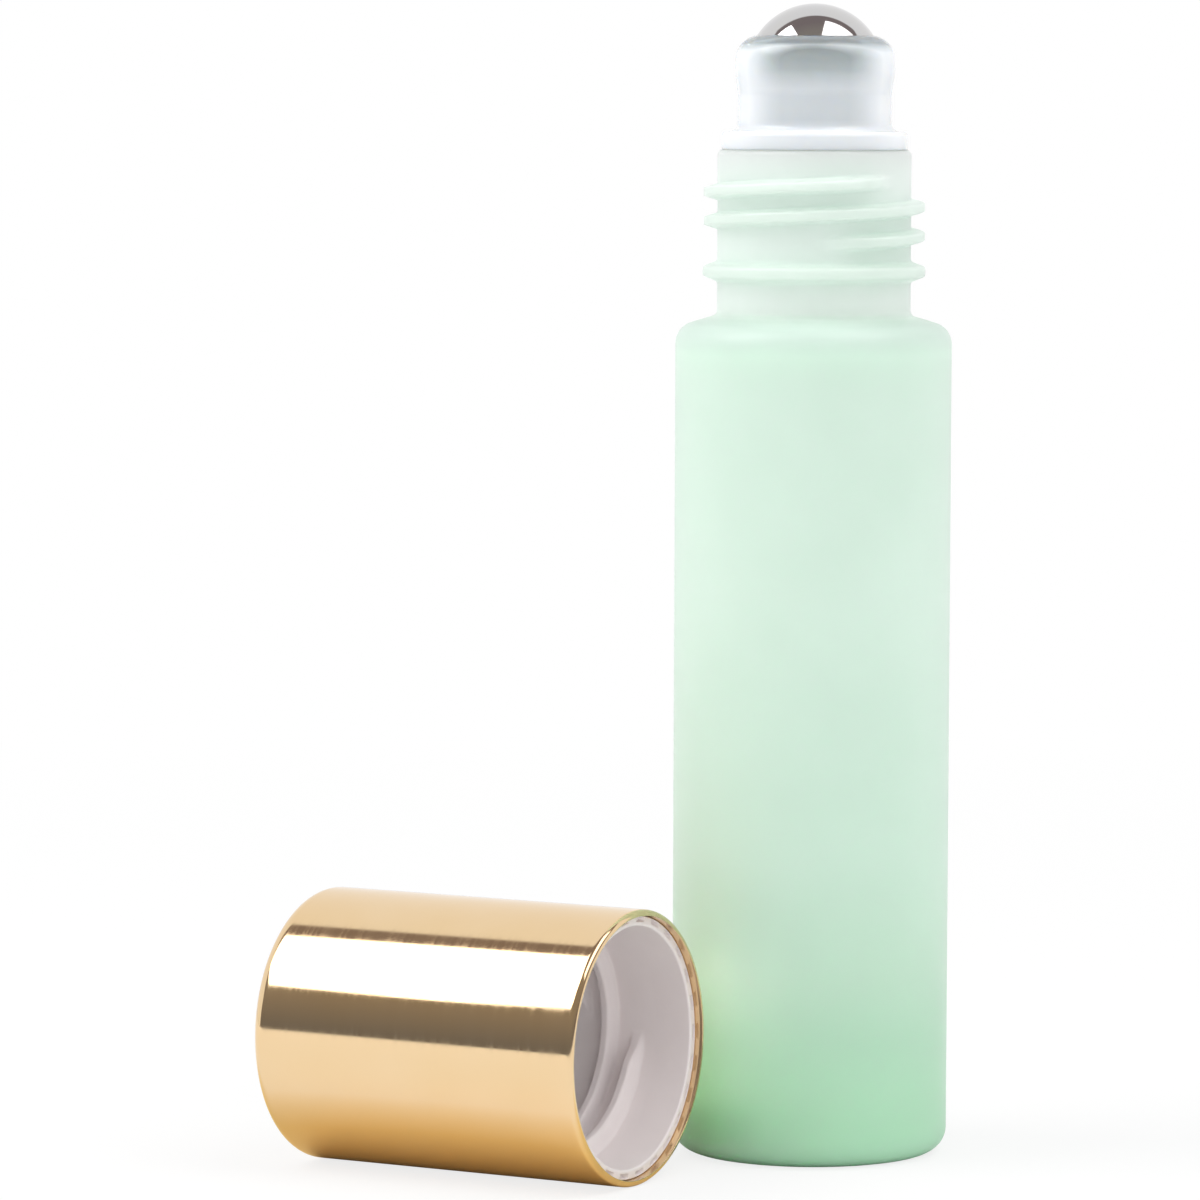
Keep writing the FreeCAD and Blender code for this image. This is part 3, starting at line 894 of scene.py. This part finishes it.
@dataclass
class ScrewCap:
    """The cap, laid on its side: a metal shell and a threaded liner, measured inwards from the rim."""

    shell_r: float = 9.8
    shell_bore_r: float = 9.35
    shell_floor: float = 25.85
    shell_columns: int = 256
    length: float = 26.3
    end_round: float = 1.1
    inner_round: float = 0.65
    rim_round: float = 0.4
    rim_edge: float = 0.03
    liner_r: float = 9.33
    liner_edge: float = 0.1
    liner_floor: float = 24.35
    liner_columns: int = 416
    recess: float = 0.6
    mouth_r: float = 8.6
    mouth_depth: float = 3.4
    mouth_round: float = 0.15
    bore_r: float = 8.35
    bore_start: float = 9.4
    bore_round: float = 0.3
    crest_r: float = 7.35
    thread_end: float = 10.2
    thread_step: float = 0.1
    pad_r: float = 3.0
    pad_depth: float = 22.25
    pad_round: float = 0.2
    notch_count: int = 26
    notch_width: float = 0.9
    notch_inner_r: float = 8.93
    notch_outer_r: float = 9.23
    notch_depth: float = 0.35
    notch_edge: float = 0.06
    notch_step: float = 0.04
    mouth_x: float = -2.7
    axis_y: float = -20.7
    thread: Thread = Thread(start=4.9, turns=2.0, angle=0.0, fade=0.06)

    def place(self) -> Matrix:
        """Lay the axis down: depth runs to -X, and the first column points to +Y."""
        rim = (self.mouth_x, self.axis_y, self.shell_r)
        return placed((0.0, 1.0, 0.0), (0.0, 0.0, -1.0), (-1.0, 0.0, 0.0), rim)

    def shell_corners(self) -> list[Corner]:
        """Give the shell's outline from the middle of its inside over the rim to its closed end.

        Returns:
            The corners in order.
        """
        return [
            Corner(0.0, self.shell_floor),
            Corner(self.shell_bore_r, self.shell_floor, self.inner_round),
            Corner(self.shell_bore_r, 0.0, self.rim_edge),
            Corner(self.shell_r, 0.0, self.rim_round),
            Corner(self.shell_r, self.length, self.end_round),
            Corner(0.0, self.length),
        ]

    def liner_corners(self) -> list[Corner]:
        """Give the liner's outline from the pad over the rim to its closed end.

        Returns:
            The corners in order.
        """
        return [
            Corner(0.0, self.pad_depth),
            Corner(self.pad_r, self.pad_depth, self.pad_round),
            Corner(self.pad_r, self.liner_floor, self.pad_round),
            Corner(self.bore_r, self.liner_floor, self.bore_round),
            Corner(self.bore_r, self.thread_end, 0.0, self.thread_step),
            Corner(self.bore_r, self.bore_start, 0.0, self.thread_step),
            Corner(self.mouth_r, self.mouth_depth, 0.0),
            Corner(self.mouth_r, self.recess, self.mouth_round, self.notch_step),
            Corner(self.liner_r, self.recess, self.liner_edge),
            Corner(self.liner_r, self.shell_floor, self.inner_round),
            Corner(0.0, self.shell_floor),
        ]

    def liner_depths(self, rows: Array) -> Array:
        """Sink shallow notches into the rim.

        A notch eases down over a narrow edge on all four sides: along the rim by the arc from its
        middle, and across it by the radius.

        Args:
            rows: Rows of radius and depth of the liner's outline.

        Returns:
            The depth by row and column.
        """
        place = np.arange(self.liner_columns) / self.liner_columns * self.notch_count
        apart = np.abs(place - np.round(place)) * TURN * self.notch_outer_r / self.notch_count
        along = ease((self.notch_width / 2.0 - apart) / self.notch_edge + 0.5)
        inner = ease((rows[:, 0] - self.notch_inner_r) / self.notch_edge + 0.5)
        outer = ease((self.notch_outer_r - rows[:, 0]) / self.notch_edge + 0.5)
        across = inner * outer * (rows[:, 1] < self.mouth_depth)
        return rows[:, 1:] + self.notch_depth * across[:, None] * along

    def liner_radii(self, rows: Array) -> Array:
        """Raise the thread inside the bore, from the wall to its crest by the ridge's share.

        Args:
            rows: Rows of radius and depth of the liner's outline.

        Returns:
            The radius by row and column.
        """
        wall = all_round(rows, self.liner_columns)
        inside = (rows[:, 1] > self.mouth_depth) & (rows[:, 1] < self.liner_floor)
        inside &= (rows[:, 0] > self.crest_r) & (rows[:, 0] < self.mouth_r + SLACK)
        share = inside[:, None] * self.thread.relief(rows[:, 1], self.liner_columns) / self.thread.reach
        return wall + (self.crest_r - wall) * share

    def build(self) -> None:
        """Make and dress the shell and the liner."""
        rows = outline(self.shell_corners())
        shell = turned_mesh("shell_skin", all_round(rows, self.shell_columns), rows[:, 1], self.place())
        GoldAluminium().dress(shell, Body.CAP, "cap_shell")
        rows = outline(self.liner_corners())
        liner = turned_mesh("liner_skin", self.liner_radii(rows), self.liner_depths(rows), self.place())
        WhitePolypropylene().dress(liner, Body.CAP, "cap_liner")


def hang_lamp(name: str, place: Matrix, sizes: Sequence[float], watts: float, tint: str = WHITE) -> None:
    """Hang a rectangular lamp.

    Args:
        name: The lamp's name.
        place: Its place; it shines along its own -Z.
        sizes: Its sizes along its own X and Y, in metres.
        watts: Its power.
        tint: Its colour.
    """
    lamp = bpy.data.lights.new(name, "AREA")
    lamp.shape = "RECTANGLE"
    lamp.size, lamp.size_y = sizes
    lamp.energy = watts
    lamp.color = linear(tint)[:3]
    hung = bpy.data.objects.new(name, lamp)
    hung.matrix_world = place
    bpy.context.scene.collection.objects.link(hung)
    LOG.info("%s: %.4f W", name, watts)


@dataclass(frozen=True)
class Softbox:
    """A soft lamp over the set, aimed at its middle, with one edge along the camera's line of sight.

    Attributes:
        side: The side of the camera on which it stands.
        azimuth: Its turn from the camera about the set, in degrees.
        elevation: Its height over the floor, in degrees.
        length: Its size along the line of sight, in metres.
        width: Its size across it, in metres.
        watts: Its power.
        distance: Its distance from the set in metres.
    """

    side: Side
    azimuth: float
    elevation: float
    length: float
    width: float
    watts: float
    distance: float = 0.7

    def build(self, towards: Array, right: Array, aim: Array) -> None:
        """Hang the lamp.

        Args:
            towards: Level direction from the set to the camera.
            right: Level direction to the camera's right.
            aim: The point that it is aimed at, in metres.
        """
        turn = math.radians(self.azimuth) * self.side.value
        rise = math.radians(self.elevation)
        level = towards * math.cos(turn) + right * math.sin(turn)
        out = level * math.cos(rise) + UP * math.sin(rise)
        along = towards - (towards @ out) * out
        along = along / np.linalg.norm(along)
        place = placed(along, np.cross(out, along), out, aim + out * self.distance)
        name = f"softbox_{self.side.name.lower()}"
        hang_lamp(name, place, (self.length, self.width), self.watts)


@dataclass
class Studio:
    """A white floor, three lamps, a room that the mirrors show, and the camera.

    Spans in the room are sines of the height over the horizon, or cosines of the turn from the camera.

    Attributes:
        focal_share: Focal length as a share of the picture's width.
        clip: Nearest and furthest distance that the camera sees, in metres.
        floor_drop: Depth of the floor under the part, so that their faces stay apart.
        shadow_span: Distances over which the shadow on the floor passes into white.
        shadow_white: Share of plain white where the shadow is fullest.
        gold_squeeze: Share at which lengths along the cap count in the oval of painted gold light round it.
        gold_span: Distances from the cap's middle, from no painted gold light to full.
        room_span: Heights from the room's low colour to its high one.
        ceiling_span: Turns from the room to the ceiling's colour.
        white_lift: How much further the white behind the set comes round near the floor.
        white_rise: Heights over which that ends.
        white_edge: Turns at which the white starts.
        fill_top: Height from which the fill is that from above.
        fill_lean: How much stronger the fill is from the camera's side.
    """

    camera_at: tuple[float, float, float] = (214.33, -413.05, 76.75)
    yaw: float = -29.32
    pitch: float = 4.5
    roll: float = 0.2
    focal_share: float = 6424.4 / 1200.0
    sensor: float = 36.0
    clip: tuple[float, float] = (0.01, 20.0)
    aim: tuple[float, float, float] = (-8.0, -10.0, 30.0)
    floor_size: float = 2.0
    floor_drop: float = 0.02
    floor_white: str = "#F0F0F0"
    # Painted gold light beside the cap, seen only in mirrors
    floor_painted_gold: str = "#EAD9A8"
    shadow_span: tuple[float, float] = (50.0, 300.0)
    shadow_white: float = 0.8
    cap_at: tuple[float, float, float] = (-15.9, -20.7, 0.0)
    gold_squeeze: float = 0.3
    gold_span: tuple[float, float] = (14.5, 8.0)
    room_low: str = "#78787C"
    room_high: str = "#968F88"
    room_span: tuple[float, float] = (0.05, 0.45)
    ceiling: str = "#8B807F"
    ceiling_span: tuple[float, float] = (0.3, -0.05)
    white_lift: float = 0.45
    white_rise: tuple[float, float] = (0.3, 0.7)
    white_edge: tuple[float, float] = (-0.33, -0.36)
    fill_top: float = 0.8
    fill_level: float = 0.95
    fill_above: float = 0.6
    fill_lean: float = 0.25
    glow_r: float = 4.0
    glow_z: float = 8.8
    glow_azimuth: float = 238.0
    glow_width: float = 4.0
    glow_length: float = 11.2
    glow_tint: str = "#FFB0CC"
    glow_watts: float = 0.0034
    softboxes: tuple[Softbox, ...] = (
        Softbox(Side.LEFT, 80.0, 48.0, 0.43, 0.45, 2.2),
        Softbox(Side.RIGHT, 65.0, 59.0, 0.53, 0.46, 1.8),
    )

    def level_axes(self) -> tuple[Array, Array]:
        """Give the level directions towards the camera and to its right.

        Returns:
            Two unit vectors.
        """
        yaw = math.radians(self.yaw)
        towards = np.array((-math.sin(yaw), -math.cos(yaw), 0.0))
        return towards, np.array((-towards[1], towards[0], 0.0))

    def camera(self) -> None:
        """Set up the camera where the photograph was taken from.

        Yaw 0 looks along +Y, a positive pitch looks down, and the roll turns right towards up.
        """
        towards, level = self.level_axes()
        pitch = math.radians(self.pitch)
        roll = math.radians(self.roll)
        back = towards * math.cos(pitch) + UP * math.sin(pitch)
        upright = np.cross(back, level)
        right = level * math.cos(roll) + upright * math.sin(roll)
        up = upright * math.cos(roll) - level * math.sin(roll)
        lens = bpy.data.cameras.new("camera")
        lens.sensor_width = self.sensor
        lens.lens = self.sensor * self.focal_share
        lens.clip_start, lens.clip_end = self.clip
        camera = bpy.data.objects.new("camera", lens)
        camera.matrix_world = placed(right, up, back, np.array(self.camera_at) * MM)
        bpy.context.scene.collection.objects.link(camera)
        bpy.context.scene.camera = camera
        LOG.info("%s: %.1f mm lens", camera.name, lens.lens)

    def card(self) -> bpy.types.Material:
        """Make the floor's card, which the camera sees as white apart from the shadow on it.

        Returns:
            The material.
        """
        made = bpy.data.materials.new("White card")
        made.use_nodes = True
        tree = made.node_tree
        tree.nodes.clear()
        place = add_node(tree, PLACE).outputs["Object"]
        path = add_node(tree, "ShaderNodeLightPath").outputs
        # Painted gold light on the floor beside the cap stands for the light that the cap throws there, and
        # shows only in mirrors
        squeeze = np.array((self.gold_squeeze, 1.0, 0.0))
        moved = {"Vector": place, "Location": tuple(-MM * squeeze * self.cap_at), "Scale": tuple(squeeze)}
        oval = add_node(tree, "ShaderNodeMapping", moved)
        beside = add_node(tree, VECTOR, (oval,), operation="LENGTH")
        none, full = self.gold_span
        near = add_node(tree, RANGE, (beside, none * MM, full * MM))
        painted_gold_share = add_node(tree, MATH, (near, path["Is Glossy Ray"]), operation="MULTIPLY")
        tones = {SHARE: painted_gold_share, FIRST: linear(self.floor_white), SECOND: linear(self.floor_painted_gold)}
        tone = add_node(tree, MIX, tones, data_type="RGBA")
        matt = add_node(tree, "ShaderNodeBsdfDiffuse", {"Color": tone})
        white = add_node(tree, "ShaderNodeEmission", {"Color": linear(WHITE)})
        # The shadow stays near the set, and further out the floor passes into the white behind it
        apart = add_node(tree, VECTOR, (place,), operation="LENGTH")
        close, far = self.shadow_span
        share = add_node(tree, RANGE, (apart, close * MM, far * MM, self.shadow_white, 1.0))
        seen = add_node(tree, MATH, (path["Is Camera Ray"], share), operation="MULTIPLY")
        mixed = add_node(tree, "ShaderNodeMixShader", (seen, matt, white))
        add_node(tree, "ShaderNodeOutputMaterial", {"Surface": mixed})
        return made

    def floor(self) -> None:
        """Lay the floor, a square just under the part."""
        half = self.floor_size / 2.0
        corners = np.array(((-half, -half), (half, -half), (half, half), (-half, half)))
        points = np.column_stack((corners, np.full(len(corners), -self.floor_drop * MM)))
        mesh = bpy.data.meshes.new("floor")
        mesh.from_pydata(points.tolist(), [], [(0, 1, 2, 3)])
        mesh.materials.append(self.card())
        laid = bpy.data.objects.new("floor", mesh)
        bpy.context.scene.collection.objects.link(laid)

    def world(self) -> None:
        """Surround the set: white for the camera, a soft fill for matt surfaces, a room for mirrors."""
        towards, _ = self.level_axes()
        made = bpy.data.worlds.new("studio")
        made.use_nodes = True
        tree = made.node_tree
        tree.nodes.clear()
        path = add_node(tree, "ShaderNodeLightPath").outputs
        look = add_node(tree, PLACE).outputs["Generated"]
        rise = add_node(tree, SPLIT, (look,)).outputs["Z"]
        facing = add_node(tree, VECTOR, (look, tuple(towards)), operation="DOT_PRODUCT")
        high = add_node(tree, RANGE, (rise, *self.room_span))
        tones = {SHARE: high, FIRST: linear(self.room_low), SECOND: linear(self.room_high)}
        room = add_node(tree, MIX, tones, data_type="RGBA")
        above = add_node(tree, RANGE, (facing, *self.ceiling_span))
        tones = {SHARE: above, FIRST: room, SECOND: linear(self.ceiling)}
        roof = add_node(tree, MIX, tones, data_type="RGBA")
        # The white behind the set comes further round to the sides near the floor
        lift = add_node(tree, RANGE, (rise, *self.white_rise, self.white_lift, 0.0))
        wide = add_node(tree, MATH, (facing, lift), operation="SUBTRACT")
        behind = add_node(tree, RANGE, (wide, *self.white_edge))
        mirrored = add_node(tree, MIX, {SHARE: behind, FIRST: roof, SECOND: linear(WHITE)}, data_type="RGBA")
        # Light that metal throws on to matt surfaces is the plain fill
        bent = add_node(tree, MATH, (path["Is Glossy Ray"], path["Is Transmission Ray"]), operation="MAXIMUM")
        first = add_node(tree, MATH, (path["Diffuse Depth"], 0.5), operation="LESS_THAN")
        straight = add_node(tree, MATH, (bent, first), operation="MULTIPLY")
        # The fill comes more from the walls than from above, and a little more from the camera's side
        walls = add_node(tree, RANGE, (rise, 0.0, self.fill_top, self.fill_level, self.fill_above))
        front = add_node(tree, RANGE, (facing, -1.0, 1.0, 1.0 - self.fill_lean, 1.0 + self.fill_lean))
        fill = add_node(tree, MATH, (walls, front), operation="MULTIPLY")
        lit = add_node(tree, MIX, {SHARE: straight, FIRST: fill, SECOND: mirrored}, data_type="RGBA")
        tones = {SHARE: path["Is Camera Ray"], FIRST: lit, SECOND: linear(WHITE)}
        shown = add_node(tree, MIX, tones, data_type="RGBA")
        background = add_node(tree, "ShaderNodeBackground", {"Color": shown})
        add_node(tree, "ShaderNodeOutputWorld", {"Surface": background})
        bpy.context.scene.world = made

    def glow(self) -> None:
        """Hang a faint strip lamp in the bottle, which faces the side that the cap shades.

        It stands for the warm light that the clear glass carries round to that side.
        """
        turn = math.radians(self.glow_azimuth)
        out = np.array((math.cos(turn), math.sin(turn), 0.0))
        at = (out * self.glow_r + UP * self.glow_z) * MM
        place = placed(np.cross(out, UP), UP, -out, at)
        sizes = (self.glow_width * MM, self.glow_length * MM)
        hang_lamp("glow", place, sizes, self.glow_watts, self.glow_tint)

    def build(self) -> None:
        """Set up the floor, the lamps, the room and the camera."""
        self.floor()
        self.world()
        towards, right = self.level_axes()
        for softbox in self.softboxes:
            softbox.build(towards, right, np.array(self.aim) * MM)
        self.glow()
        self.camera()
        bpy.context.scene.view_settings.view_transform = "Standard"


def main() -> None:
    """Build every sub-assembly in order, then the studio around them."""
    logging.basicConfig(level=logging.INFO, format="%(message)s")
    GlassBottle().build()
    Applicator().build()
    ScrewCap().build()
    Studio().build()


if __name__ == "__main__":
    main()
